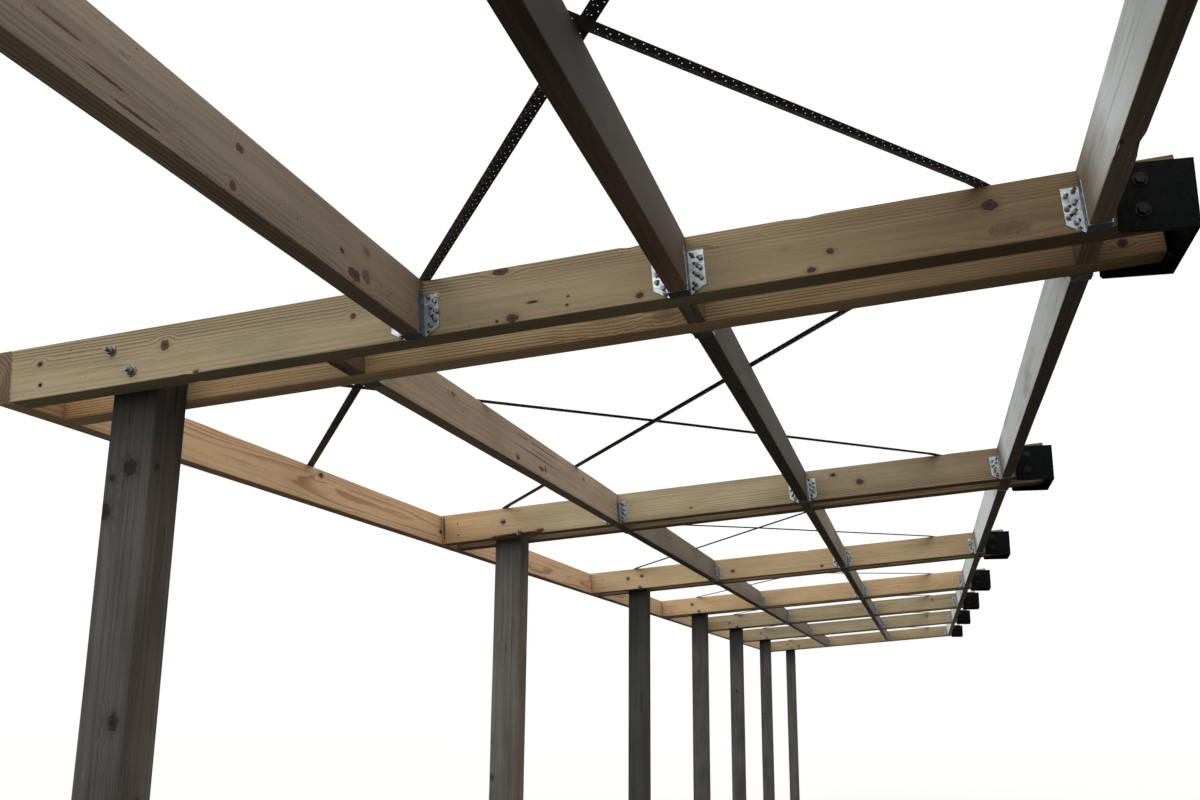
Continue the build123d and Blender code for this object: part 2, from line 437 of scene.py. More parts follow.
def planTimber(low, high, axis, spec):
    # the sizes and marks of one timber; its own draws come in this order
    setup = timberSetup
    draw = random.Random(spec["seed"])
    along, across, deep = axisOrder[axis]
    length = high[along] - low[along]
    halfT, halfD = (high[across] - low[across]) / 2, (high[deep] - low[deep]) / 2
    pith = (draw.uniform(*setup["pithAcross"]) * draw.choice((-1, 1)), draw.uniform(*setup["pithDeep"]))
    shift = Vector((draw.uniform(*setup["trunk"]), *spec.get("pith", pith)))
    tones = spec.get("tones")
    if not tones:
        tones = [(0.0, draw.uniform(*setup["brightness"]), draw.uniform(*setup["warmth"]))] * 2
    start = low[along]
    knots = []
    for side, place, *sizes in spec.get("knots", ()):
        sizes, dark = [size / 1000 for size in sizes[:3]], (sizes[3:] or [1.0])[0]
        knots.append((side, place / 1000 - start, *sizes, dark))
    for _ in range(spec.get("randomKnots", 0)):
        side = draw.choice((0, 1, 2, 3))
        reach = halfD if side in (0, 2) else halfT
        size = draw.uniform(*setup["knotSize"])
        place = draw.uniform(setup["knotMargin"], length - setup["knotMargin"])
        own = draw.uniform(-reach, reach)
        long = size * draw.uniform(*setup["knotStretch"])
        knots.append((side, place, own, long, size, draw.uniform(*setup["knotDark"])))
    nicks = []
    for side, place, *sizes in spec.get("nicks", ()):
        nicks.append((side, place / 1000 - start, *[size / 1000 for size in sizes]))
    wanes = []
    for corner, first, last, size in spec.get("wanes", ()):
        wanes.append((corner, first / 1000 - start, last / 1000 - start, size / 1000))
    return {
        "length": length, "halfT": halfT, "halfD": halfD, "shift": shift, "tones": tones, "knots": knots,
        "nicks": nicks, "wanes": wanes,
    }


def cornerRadii(plan, spec, place):
    # the rounding of the four edges at a place along the timber
    setup = timberSetup
    scaleAlong, scaleEdge, scaleTimber = setup["waverScale"]
    radii = []
    for corner in range(4):
        spot = Vector((place * scaleAlong + corner * scaleEdge, spec["seed"] * scaleTimber, 0.0))
        waver = 1.0 + setup["arrisWaver"] * noise.noise(spot)
        radius = setup["arris"] * spec.get("arris", 1.0) * waver
        for edge, start, end, size in plan["wanes"]:
            if edge == corner:
                radius += size * max(0.0, 1 - ((place - (start + end) / 2) / ((end - start) / 2)) ** 2)
        radii.append(min(radius, plan["halfT"] * setup["arrisMost"]))
    return radii


def surfaceFall(plan, spec, place, inset, pointT, pointD, side):
    # how far a point of the surface lies inside the full section
    scaleAlong, scaleAcross = timberSetup["hollowScale"]
    spot = (place * scaleAlong + side * 5.0, pointT * scaleAcross + spec["seed"], pointD * scaleAcross)
    rough = 0.5 + 0.5 * noise.noise(Vector(spot))
    fall = timberSetup["hollow"] * rough + inset
    for nickSide, nickPlace, nickAcross, size, depth in plan["nicks"]:
        own = pointD if nickSide in (0, 2) else pointT
        far = ((place - nickPlace) / size) ** 2 + ((own - nickAcross) / (size * 0.6)) ** 2
        if side == nickSide or far < 1:
            fall += depth * math.exp(-far * 1.5)
    return fall


def toneVector(plan, spec, place, inset, side):
    # brightness, warmth and wash of a point, the brightness scaled per side, which on the joists is painted
    # shade; an inset point belongs to the end grain
    bright, warm = toneAt(plan["tones"], place / plan["length"])
    brighter, warmer = spec.get("sideTones", {}).get(side, (1.0, 0.0))
    washed = 0.0
    if spec.get("washSide") == side:
        left = (plan["length"] - place) / timberSetup["washFade"] - timberSetup["washClear"]
        washed = bright * min(1.0, max(0.0, left))
    ended = spec.get("endTone", timberSetup["endTone"]) if inset else 1.0
    return Vector((bright * brighter * ended, (warm + warmer) * (not inset), washed))


def setKnot(face, side, corners, knots, layer):
    # each face knows the nearest knot that reaches it
    along = [corner[1] for corner in corners]
    across = [(corner[3] if side in (0, 2) else corner[2]) for corner in corners]
    best, nearest = None, timberSetup["knotReach"]
    for knot in knots:
        if knot[0] == side:
            gapAlong = max(0.0, min(along) - knot[1], knot[1] - max(along)) / knot[3]
            gapAcross = max(0.0, min(across) - knot[2], knot[2] - max(across)) / knot[4]
            if math.hypot(gapAlong, gapAcross) < nearest:
                best, nearest = knot, math.hypot(gapAlong, gapAcross)
    for corner, alongOwn, acrossOwn in zip(face.loops, along, across):
        corner[layer] = timberSetup["noKnot"]
        if best:
            corner[layer] = ((alongOwn - best[1]) / best[3], (acrossOwn - best[2]) / best[4], best[5])


def timberLayers(bm):
    layers = []
    for owner, name in ((bm.verts.layers, "board"), (bm.verts.layers, "tone"), (bm.loops.layers, "knot")):
        layers.append(owner.float_vector.get(name) or owner.float_vector.new(name))
    return layers


def addTimber(bm, low, high, axis, spec):
    boardLayer, toneLayer, knotLayer = timberLayers(bm)
    plan = planTimber(low, high, axis, spec)
    along, across, deep = axisOrder[axis]
    length, middle = plan["length"], (low + high) / 2
    count = max(2, round(length / spec.get("step", timberSetup["step"])))
    ease = timberSetup["endEase"]
    stations = [(0.0, ease), (ease, 0.0)] + [(length * k / count, 0.0) for k in range(1, count)]
    stations += [(length - ease, 0.0), (length, ease)]
    rings = []
    for place, inset in stations:
        ring = []
        section = sectionPoints(plan["halfT"], plan["halfD"], cornerRadii(plan, spec, place))
        for pointT, pointD, side, normalT, normalD in section:
            fall = surfaceFall(plan, spec, place, inset, pointT, pointD, side)
            pointT, pointD = pointT - normalT * fall, pointD - normalD * fall
            spot = [0.0, 0.0, 0.0]
            spot[along] = low[along] + place
            spot[across], spot[deep] = middle[across] + pointT, middle[deep] + pointD
            if spec.get("slantedTop"):
                # only a post has it: the top follows the fall of the beams
                share = max(0.0, 1 - (length - place) / timberSetup["slantReach"])
                spot[2] -= (high.x - spot[0]) * math.tan(roofFall) * share
            vertex = bm.verts.new(spot)
            vertex[boardLayer] = Vector((place, pointT, pointD)) + plan["shift"]
            vertex[toneLayer] = toneVector(plan, spec, place, inset, side)
            ring.append((vertex, place, pointT, pointD, side))
        rings.append(ring)
    size = len(rings[0])
    for first, second in zip(rings, rings[1:]):
        for index in range(size):
            after = (index + 1) % size
            corners = [first[index], first[after], second[after], second[index]]
            face = bm.faces.new([corner[0] for corner in corners])
            face.smooth = True
            setKnot(face, first[after][4], corners, plan["knots"], knotLayer)
    for ring in (rings[0][::-1], rings[-1]):
        setKnot(bm.faces.new([corner[0] for corner in ring]), -1, ring, plan["knots"], knotLayer)


def newPiece(name, mesh, node=None):
    # a finished piece, which takes the place of a CAD node if one is given
    piece = bpy.data.objects.new(name, mesh)
    scene.collection.objects.link(piece)
    if node:
        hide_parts(node)
    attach(piece, "root")


def meshFrom(bm, name):
    mesh = bpy.data.meshes.new(name)
    bm.to_mesh(mesh)
    bm.free()
    return mesh


def timberPiece(name, node, material, timbers, turn=roofTurn):
    # timbers: list of (low, high, axis, spec)
    bm = bmesh.new()
    for low, high, axis, spec in timbers:
        addTimber(bm, low, high, axis, spec)
    bmesh.ops.transform(bm, matrix=turn, verts=bm.verts)
    bmesh.ops.recalc_face_normals(bm, faces=bm.faces)
    mesh = meshFrom(bm, name)
    mesh.set_sharp_from_angle(angle=math.radians(timberSetup["sharpAngle"]))
    mesh.materials.append(material)
    newPiece(name, mesh, node)


def solidPoints(node):
    # the corners of each roof solid of a CAD node, with the roof laid level
    mesh = nodes[node].data
    parent = list(range(len(mesh.vertices)))

    def root(k):
        while parent[k] != k:
            parent[k] = parent[parent[k]]
            k = parent[k]
        return k

    places = {}
    for vertex in mesh.vertices:
        key = tuple(round(c, 5) for c in vertex.co)
        parent[root(vertex.index)] = root(places.setdefault(key, vertex.index))
    for edge in mesh.edges:
        parent[root(edge.vertices[0])] = root(edge.vertices[1])
    solids = {}
    for vertex in mesh.vertices:
        solids.setdefault(root(vertex.index), []).append(roofLevel @ vertex.co)
    return list(solids.values())


def solidBoxes(node):
    # the box of each of those solids, in order along Y
    boxes = []
    for points in solidPoints(node):
        boxes.append((Vector(map(min, zip(*points))), Vector(map(max, zip(*points)))))
    return sorted(boxes, key=lambda pair: pair[0].y)


# marks read from the photo, in millimetres: knots as (side, place along, place across, half length,
# half height) and a darkness, nicks as (side, place along, place across, size, depth), wanes as (corner,
# start, end, size). Tones are (share of the length, brightness, warmth)
# Brightness in these tones is partly painted: light on the far beam's inner face, shade on post tops under
# the beams and on joist faces towards the wall
boardMarks = {
    "near_beam_2": {
        "pith": (0.066, 0.032),
        "tones": [
            (0.0, 1.04, 0.05), (0.25, 1.0, 0.05), (0.45, 0.84, 0.2), (0.7, 0.74, 0.45), (0.85, 0.47, 0.9),
            (1.0, 0.36, 1.0),
        ],
        "knots": [
            (0, -2388, 16, 12, 12), (0, -1878, 11, 8, 7), (0, -1480, -58, 14, 11), (0, -1500, 60, 20, 9),
            (0, -1429, -27, 14, 3, 1.6), (0, -1175, -52, 9, 7), (0, -746, -21, 9, 7),
            (0, -792, -57, 10, 6), (0, -403, 24, 15, 12), (0, -371, -35, 45, 15, 0.3),
            (0, -1343, -27, 4, 3), (0, -1347, -48, 4, 3), (0, -1517, -60, 4, 4), (0, -2300, -66, 8, 4),
            (0, -2750, 20, 8, 6), (0, -2747, -36, 6, 5),
        ],
        "nicks": [(0, -1189, 68, 20, 4), (0, -791, 66, 25, 4), (0, -2330, -66, 15, 4)],
    },
    # painted light: these tones brighten the far beam's shaded inner face
    "far_beam_2": {
        "pith": (0.06, -0.03),
        "tones": [
            (0.0, 2.2, 1.0), (0.06, 2.2, 1.0), (0.14, 2.1, 0.8), (0.5, 1.6, 0.6), (0.8, 1.1, 0.8),
            (1.0, 0.7, 1.0),
        ],
        "knots": [(0, -1300, -10, 50, 30, 0.25), (0, -1160, -30, 30, 20, 0.3), (0, -117, -35, 12, 10)],
    },
    "near_beam_3": {
        "pith": (0.07, -0.02),
        "tones": [
            (0.0, 1.15, 1.0), (0.12, 1.2, 0.7), (0.2, 1.25, 0.1), (0.5, 1.1, 0.0), (0.75, 0.72, 0.2),
            (1.0, 0.5, 0.4),
        ],
        "knots": [
            (0, -940, 37, 13, 8, 1.3), (0, -826, -9, 17, 13), (0, -2337, -58, 20, 10, 1.2),
            (0, -2450, -66, 130, 9, 1.4), (0, -1602, -36, 6, 5), (0, -2820, 10, 4, 60),
        ],
        "nicks": [(0, -469, 69, 30, 4), (0, -2360, -68, 18, 6)],
        "wanes": [(0, -2550, -2330, 14)],
    },
    "near_beam_4": {
        "pith": (0.06, 0.03),
        "tones": [(0.0, 1.4, 0.6), (1.0, 1.15, 0.5)],
        "knots": [(0, -1826, -17, 14, 10), (0, -1222, -46, 12, 9), (0, -2465, 15, 12, 10)],
        "nicks": [(0, -1323, 67, 30, 4)],
    },
    "near_beam_5": {"tones": [(0.0, 1.5, 0.8), (1.0, 1.3, 0.7)]},
    "fascia_1": {
        "pith": (0.062, 0.01),
        "randomKnots": 0,
        "knots": [
            (2, 1568, 48, 20, 9, 1.2), (2, 2814, -10, 22, 10, 1.2), (2, 2898, 41, 12, 10),
            (2, 885, 85, 100, 40, 0.0), (2, 1620, -30, 90, 30, 0.0), (0, -120, 0, 10, 10),
        ],
    },
    "post_2": {
        "randomKnots": 0,
        "knots": [
            (3, -480, 8, 22, 18), (3, -505, -43, 10, 8), (3, -590, -53, 20, 14, 1.3),
            (2, -475, -38, 9, 9, 0.7), (3, -1100, 30, 20, 15), (2, -1300, 10, 20, 16),
        ],
    },
    # these tones darken the post tops as painted shade under the beams
    "post_3": {"tones": [(0.0, 1.5, 0.3), (0.85, 1.4, 0.3), (1.0, 0.6, 0.2)]},
    "post_4": {"tones": [(0.0, 0.65, 0.0), (0.85, 0.6, 0.0), (1.0, 0.3, 0.0)]},
    "joists_line_1 0": {
        "pith": (-0.07, 0.0),
        "tones": [(0.0, 1.4, 0.0), (0.6, 1.35, 0.0), (0.85, 1.1, 0.3), (1.0, 1.05, 0.5)],
        "knots": [
            (2, -959, 30, 12, 8), (2, -981, -50, 10, 10), (2, -566, -13, 10, 6, 1.5),
            (2, -510, -46, 30, 14, 1.1), (2, -455, -30, 18, 16, 0.7), (2, -449, 27, 20, 10, 0.5),
            (2, -1423, -4, 50, 3, 0.8), (2, -1320, -30, 50, 3, 1.0), (2, -1250, -54, 60, 3, 1.0),
        ],
    },
    "joists_line_1 1": {
        "pith": (-0.055, 0.03),
        "tones": [(0.0, 1.7, 0.5), (1.0, 1.9, 0.4)],
        "knots": [
            (2, 691, 31, 20, 7, 0.8), (2, 1305, -46, 20, 10, 1.4), (2, 1588, -36, 30, 8, 1.2),
            (2, 1640, -28, 12, 12), (2, 1546, 42, 260, 2.2, 1.4), (2, 1538, 0, 260, 2.2, 1.4),
            (2, 1600, 20, 160, 1.4, 1.2), (2, 1478, 62, 14, 5), (2, 2202, 31, 16, 6),
        ],
    },
    "joists_line_3 0": {
        "tones": [(0.0, 0.5, 0.4), (0.72, 0.5, 0.4), (0.88, 0.95, 0.1), (1.0, 1.0, 0.4)],
        "knots": [(0, -464, -1, 30, 10, 0.8), (0, -620, 30, 90, 4, 0.6)],
        "nicks": [(0, -537, -68, 20, 6)],
    },
    "joists_line_3 1": {"tones": [(0.0, 0.55, 0.3), (1.0, 0.8, 0.3)]},
    # painted shade: for both bays of this joist, dark tones keep the face towards the wall shaded, and side
    # tones lift the other faces
    "joists_line_2 0": {
        "tones": [(0.0, 0.12, 0.3), (0.6, 0.13, 0.5), (0.75, 0.24, 0.6), (0.9, 0.3, 1.0), (1.0, 0.55, 1.0)],
        "sideTones": {0: (3.2, 0.0), 1: (4.0, 0.0), 3: (2.6, 0.0)},
    },
    "joists_line_2 1": {
        "tones": [(0.0, 0.27, 0.3), (1.0, 0.38, 0.3)],
        "sideTones": {0: (2.6, 0.0), 1: (3.0, 0.0), 3: (1.7, 0.0)},
    },
}
frameCount = 8
fasciaCount = 3
joistLines = (1, 2, 3)
firstSeeds = {"beam": 0, "post": 200, "fascia": 300, "joists": 400, "blocks": 500}
beamSteps = {"marked": 0.02, "near": 0.04, "far": 0.1}  # closer points where more shows
nearFrames = 3
newPostSpec = {
    "randomKnots": 4, "arris": 1.6, "slantedTop": True, "sideTones": {2: (1.5, 0.9)},
    # the tones darken the post's top as painted shade under the beams
    "tones": [(0.0, 1.1, 0.2), (0.8, 1.0, 0.2), (0.9, 0.45, 0.1), (1.0, 0.25, 0.1)],
}
for number in range(1, frameCount + 1):
    for side in ("near", "far"):
        name = f"{side}_beam_{number}"
        low, high = solidBoxes(name)[0]
        step = beamSteps["near" if number <= nearFrames else "far"]
        seed = firstSeeds["beam"] + number * 10 + (side == "far")
        spec = {"seed": seed, "randomKnots": 5, "step": step}
        if name in boardMarks:
            spec.update(boardMarks[name], randomKnots=0, step=beamSteps["marked"])
        timbers = [(low, high, 0, spec)]
        timberPiece(f"{side}Beam{number}", name, timberMaterials["beam"], timbers)
    name = f"post_{number}"
    spec = {"seed": firstSeeds["post"] + number, **newPostSpec, **boardMarks.get(name, {})}
    timbers = [(*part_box(name), 2, spec)]
    timberPiece(f"post{number}", name, timberMaterials["post"], timbers, Matrix())
print("beams and posts made")
for number in range(1, fasciaCount + 1):
    name = f"fascia_{number}"
    seed = firstSeeds["fascia"] + number
    spec = {"seed": seed, "randomKnots": 8, "endTone": 0.25, **boardMarks.get(name, {})}
    timbers = [(*solidBoxes(name)[0], 1, spec)]
    timberPiece(f"fascia{number}", name, timberMaterials["fascia"], timbers)
for line in joistLines:
    for kind, randomKnots in (("joists", 3), ("blocks", 0)):
        name = f"{kind}_line_{line}"
        timbers = []
        for index, (low, high) in enumerate(solidBoxes(name)):
            spec = {"seed": firstSeeds[kind] + line * 20 + index, "randomKnots": randomKnots}
            if kind == "joists":
                # painted shade: the top, and on lines 1 and 2 the face away from the wall, are brighter than
                # the face towards the wall and the underside
                spec["sideTones"] = {0: (1.0 if line == 3 else 1.4, 0.0), 1: (1.6, 0.0)}
                spec["washSide"] = 0 if line == 3 else None
            spec.update(boardMarks.get(f"{name} {index}", {}))
            timbers.append((low, high, 1, spec))
        timberPiece(f"{kind}Line{line}", name, timberMaterials["joist"], timbers)
print("fascia, joists and blocks made")


# Steel
def steelMaterial(name, look):
    material, make, shader = newMaterial(name)
    place = make.objectPlace()
    age = make.group(weather, Point=place, Size=look["stainSize"], Amount=look["stain"])
    cells = make.node("ShaderNodeTexVoronoi", Vector=place, Scale=look["spangle"]).outputs["Color"]
    tint = make.node("ShaderNodeSeparateColor", Color=cells).outputs[0]
    colour = make.mix(make.times(tint, look["spangleShare"]), look["base"], look["second"])
    colour = make.mix(age["Stain"], colour, look["dirtAndShade"])
    # painted shade: faces not turned along Y are mixed towards the dirt colour, so a hanger's side plates and
    # seat read darker than its flanges
    facing = make.split(make.node("ShaderNodeNewGeometry").outputs["Normal"])
    turned = make.spread(make.math("ABSOLUTE", facing["Y"]), 0.9, 0.6, 0.0, look["paintedSideShade"])
    rough = make.noise(place, look["roughScale"], 3)
    make.finish(shader, {
        "Base Color": make.mix(turned, colour, look["dirtAndShade"]),
        "Metallic": look["metal"],
        "Specular IOR Level": look["specular"],
        "Roughness": make.spread(rough, 0.3, 0.7, look["rough"] - 0.08, look["rough"] + 0.12),
        "Normal": make.bump(look["bump"], look["bumpDepth"], make.noise(place, look["roughScale"] * 2, 3)),
    })
    return material


newSteelLook = {
    "metal": 0.7, "specular": 0.5, "paintedSideShade": 0.0, "spangle": 120.0, "spangleShare": 0.6, "stain": 0.5,
    "stainSize": 60.0, "rough": 0.5, "roughScale": 80.0, "bump": 0.1, "bumpDepth": 0.0005,
}
steelLooks = {
    "galvanised": {
        "base": (0.24, 0.28, 0.31), "second": (0.42, 0.47, 0.5), "dirtAndShade": (0.08, 0.085, 0.085), "metal": 0.9,
        "paintedSideShade": 0.8, "spangle": 160.0, "stainSize": 30.0, "rough": 0.42, "roughScale": 60.0, "bump": 0.3,
    },
    "strap": {
        "base": (0.06, 0.06, 0.062), "second": (0.1, 0.1, 0.1), "dirtAndShade": (0.04, 0.035, 0.03), "specular": 0.4,
        "stainSize": 12.0, "roughScale": 50.0, "bump": 0.2,
    },
    "nail": {
        "base": (0.3, 0.31, 0.32), "second": (0.5, 0.51, 0.52), "dirtAndShade": (0.06, 0.05, 0.045),
        "metal": 0.8, "spangle": 90.0, "spangleShare": 0.9, "stain": 0.8, "rough": 0.4,
    },
    "bolt": {
        "base": (0.14, 0.137, 0.13), "second": (0.28, 0.275, 0.26), "dirtAndShade": (0.04, 0.034, 0.028),
        "stain": 0.7,
    },
    "blackBolt": {
        "base": (0.003, 0.003, 0.003), "second": (0.007, 0.007, 0.007), "dirtAndShade": (0.01, 0.009, 0.008),
        "metal": 0.0, "specular": 0.12, "spangle": 200.0, "spangleShare": 0.4, "stain": 0.3,
        "stainSize": 40.0, "rough": 0.4, "roughScale": 90.0,
    },
    "black": {
        "base": (0.0025, 0.003, 0.0035), "second": (0.004, 0.0045, 0.005), "dirtAndShade": (0.01, 0.009, 0.008),
        "metal": 0.0, "specular": 0.04, "spangle": 300.0, "spangleShare": 0.4, "stain": 0.2,
        "stainSize": 14.0, "rough": 0.55, "roughScale": 90.0, "bump": 0.3,
    },
}
steelMaterials = {}
for name, change in steelLooks.items():
    steelMaterials[name] = steelMaterial(name + "Steel", {**newSteelLook, **change})


def coverNode(node, material):
    for holder in nodes[node].material_slots:
        holder.material = material


for line in joistLines:
    coverNode(f"joist_hangers_line_{line}", steelMaterials["galvanised"])
coverNode("wall_brackets", steelMaterials["black"])


# Geometry Nodes trees for what repeats
def runTree(name, mesh, tree, values):
    # the plain mesh that a tree makes from the given one
    holder = bpy.data.objects.new(name, mesh)
    scene.collection.objects.link(holder)
    modifier = holder.modifiers.new("repeat", "NODES")
    modifier.node_group = tree
    for item in tree.interface.items_tree:
        if item.item_type == "SOCKET" and item.in_out == "INPUT" and item.name in values:
            modifier[item.identifier] = values[item.name]
    depsgraph = bpy.context.evaluated_depsgraph_get()
    made = bpy.data.meshes.new_from_object(holder.evaluated_get(depsgraph), depsgraph=depsgraph)
    made.name = name
    holder.modifiers.remove(modifier)
    bpy.data.objects.remove(holder)
    return made


def makeStrapTree():
    # cells of punched band laid end to end along a path and folded to a shallow V
    inputs = {"Geometry": "Geometry", "Cell": "Object", "Material": "Material"}
    inputs.update(dict.fromkeys(("Pitch", "Half Width", "Rise", "Flat End"), "Float"))
    make, given, result = newGroup("punchedStrap", "Geometry", inputs, {"Geometry": "Geometry"})
    path = make.step("MeshToCurve", Mesh=given["Geometry"])
    length = make.step("CurveLength", Curve=path)
    count = make.math("ROUND", make.math("DIVIDE", length, given["Pitch"]))
    pitch = make.math("DIVIDE", length, count)
    stretch = make.join(X=make.math("DIVIDE", pitch, given["Pitch"]), Y=1.0, Z=1.0)
    points = make.step("MeshLine", Count=count, Offset=make.join(X=pitch))
    cell = make.node("GeometryNodeObjectInfo", Object=given["Cell"]).outputs["Geometry"]
    cells = make.step("InstanceOnPoints", Points=points, Instance=cell, Scale=stretch)
    band = make.step("RealizeInstances", Geometry=cells)
    band = make.step("MergeByDistance", Geometry=band, Distance=strapSetup["weld"])
    place = make.split(make.step("InputPosition"))
    sample = make.node("GeometryNodeSampleCurve", {"mode": "LENGTH"}, Curves=path, Length=place["X"]).outputs
    side = make.vector("NORMALIZE", make.vector("CROSS_PRODUCT", (0.0, 0.0, 1.0), sample["Tangent"]))
    toEnd = make.math("MINIMUM", place["X"], make.minus(length, place["X"]))
    flat = given["Flat End"]
    fold = make.times(make.spread(toEnd, flat, make.times(flat, 2.5)), given["Rise"])
    share = make.math("DIVIDE", make.math("ABSOLUTE", place["Y"]), given["Half Width"])
    upFold = make.times(make.math("MAXIMUM", fold, 0.0), make.minus(1.0, share))
    downFold = make.times(make.math("MAXIMUM", make.times(fold, -1.0), 0.0), share)
    lift = make.plus(place["Z"], make.plus(upFold, downFold))
    target = make.vector("ADD", sample["Position"], make.resize(side, place["Y"]))
    target = make.vector("ADD", target, make.join(Z=lift))
    band = make.step("SetPosition", Geometry=band, Position=target)
    band = make.step("SetMaterial", Geometry=band, Material=given["Material"])
    make.finish(result, {"Geometry": band})
    return make.tree


def makeFasteningTree():
    # one fastener on each point, its head along the point's "facing" vector, turned at random
    inputs = {"Geometry": "Geometry", "Shape": "Object", "Seed": "Int", "Material": "Material"}
    make, given, result = newGroup("fastenings", "Geometry", inputs, {"Geometry": "Geometry"})
    facing = make.step("InputNamedAttribute", {"data_type": "FLOAT_VECTOR"}, Name="facing")
    size = make.step("InputNamedAttribute", {"data_type": "FLOAT"}, Name="size")
    turn = make.node("FunctionNodeAlignRotationToVector", {"axis": "Z"}, Vector=facing).outputs[0]
    spin = make.node("FunctionNodeRandomValue", {"data_type": "FLOAT"}, Seed=given["Seed"])
    spin.inputs[3].default_value = math.tau
    shape = make.node("GeometryNodeObjectInfo", Object=given["Shape"]).outputs["Geometry"]
    points = {"Points": given["Geometry"], "Instance": shape, "Rotation": turn, "Scale": size}
    placed = make.step("InstanceOnPoints", **points)
    spinTurn = make.join(Z=spin.outputs[1])
    placed = make.step("RotateInstances", Instances=placed, Rotation=spinTurn)
    placed = make.step("RealizeInstances", Geometry=placed)
    placed = make.step("SetMaterial", Geometry=placed, Material=given["Material"])
    make.finish(result, {"Geometry": placed})
    return make.tree


# Straps
strapSetup = {
    "pitch": 0.0264,
    "halfWidth": 0.0145,
    "thickness": 0.001,
    "rise": 0.0035,
    "flatEnd": 0.03,
    "hole": 0.0015,
    "holes": ((0.006, 0.0035), (0.0192, 0.0095)),
    "lift": 3.7,  # the folded bands stand further apart where they cross than the flat CAD bands
    "roundBays": 3,  # bays whose holes are near enough to need six sides
    "sameStation": 0.005,  # points of a band closer than this along it belong together
    "insideHole": 0.8,  # faces centred within this share of the radius are cut away
    "weld": 0.0002,
    "tiny": 1e-6,
}


def punchedCell(name, sides):
    # one pitch of flat band; the holes come in pairs, one on each side of the fold
    setup = strapSetup
    pitch, radius, tiny = setup["pitch"], setup["hole"], setup["tiny"]
    bm = bmesh.new()
    for sign in (-1, 1):
        outline = [(0, 0), (pitch, 0), (pitch, setup["halfWidth"]), (0, setup["halfWidth"])]
        points = [Vector(point) for point in outline]
        edges = [(k, (k + 1) % 4) for k in range(4)]
        for x, y in setup["holes"]:
            first = len(points)
            for k in range(sides):
                angle = math.tau * (k + 0.5) / sides
                points.append(Vector((x + radius * math.cos(angle), y + radius * math.sin(angle))))
                edges.append((first + k, first + (k + 1) % sides))
        spots, _, faces, *_ = geometry.delaunay_2d_cdt(points, edges, [], 0, tiny)
        corners = [bm.verts.new((spot.x, sign * spot.y, 0)) for spot in spots]
        for face in faces:
            centre = sum((spots[k] for k in face), Vector((0, 0))) / len(face)
            if all((centre - Vector(hole)).length > radius * setup["insideHole"] for hole in setup["holes"]):
                bm.faces.new([corners[k] for k in (face if sign > 0 else reversed(face))])
    bmesh.ops.remove_doubles(bm, verts=bm.verts, dist=tiny)
    bmesh.ops.recalc_face_normals(bm, faces=bm.faces)
    bmesh.ops.solidify(bm, geom=bm.faces[:], thickness=setup["thickness"])
    low = min(vertex.co.z for vertex in bm.verts)
    bmesh.ops.translate(bm, verts=bm.verts, vec=(0, 0, -low))
    ends = []
    for face in bm.faces:
        if any(all(abs(vertex.co.x - x) < tiny for vertex in face.verts) for x in (0, pitch)):
            ends.append(face)
    bmesh.ops.delete(bm, geom=ends, context="FACES_ONLY")
    cell = bpy.data.objects.new(name, meshFrom(bm, name))
    scene.collection.objects.link(cell)
    return cell


def strapRoutes(node):
    # the middle of each strap's underside, from its outer end, with the roof laid level
    routes = []
    for points in solidPoints(node):
        start = min(points, key=lambda point: point.x)
        end = max(points, key=lambda point: point.x)
        run = Vector((end.x - start.x, end.y - start.y, 0)).normalized()
        stations = []
        for point in sorted(points, key=lambda point: point.dot(run)):
            if stations and point.dot(run) - stations[-1][0].dot(run) < strapSetup["sameStation"]:
                stations[-1].append(point)
            else:
                stations.append([point])
        route = []
        for group in stations:
            spot = sum(group, Vector()) / len(group)
            spot.z = min(point.z for point in group)
            route.append(spot)
        base = route[0].z
        for spot in route:
            spot.z = base + (spot.z - base) * strapSetup["lift"]
        routes.append(route)
    return sorted(routes, key=lambda route: route[0].y)


def strapPiece(name, node, sign):
    # all straps of one CAD node; sign says whether the fold points up or down
    setup = strapSetup
    material = steelMaterials["strap"]
    values = {
        "Pitch": setup["pitch"], "Half Width": setup["halfWidth"], "Rise": setup["rise"] * sign,
        "Flat End": setup["flatEnd"], "Material": material,
    }
    bm = bmesh.new()
    for number, route in enumerate(strapRoutes(node)):
        path = bpy.data.meshes.new(name)
        path.from_pydata(route, [(k, k + 1) for k in range(len(route) - 1)], [])
        cell = strapCells[6 if number < setup["roundBays"] else 4]
        made = runTree(name, path, strapTree, {"Cell": cell, **values})
        bm.from_mesh(made)
        bpy.data.meshes.remove(made)
    bmesh.ops.holes_fill(bm, edges=[edge for edge in bm.edges if edge.is_boundary], sides=0)
    bmesh.ops.transform(bm, matrix=roofTurn, verts=bm.verts)
    bmesh.ops.recalc_face_normals(bm, faces=bm.faces)
    mesh = meshFrom(bm, name)
    mesh.materials.append(material)
    newPiece(name, mesh, node)


strapTree = makeStrapTree()
strapCells = {sides: punchedCell(f"strapCell{sides}", sides) for sides in (4, 6)}
strapPiece("lowerStraps", "lower_straps", -1)
strapPiece("upperStraps", "upper_straps", -1)
strapPiece("longStrap", "long_strap", 1)
for cell in strapCells.values():
    bpy.data.objects.remove(cell)
print("straps punched and laid")

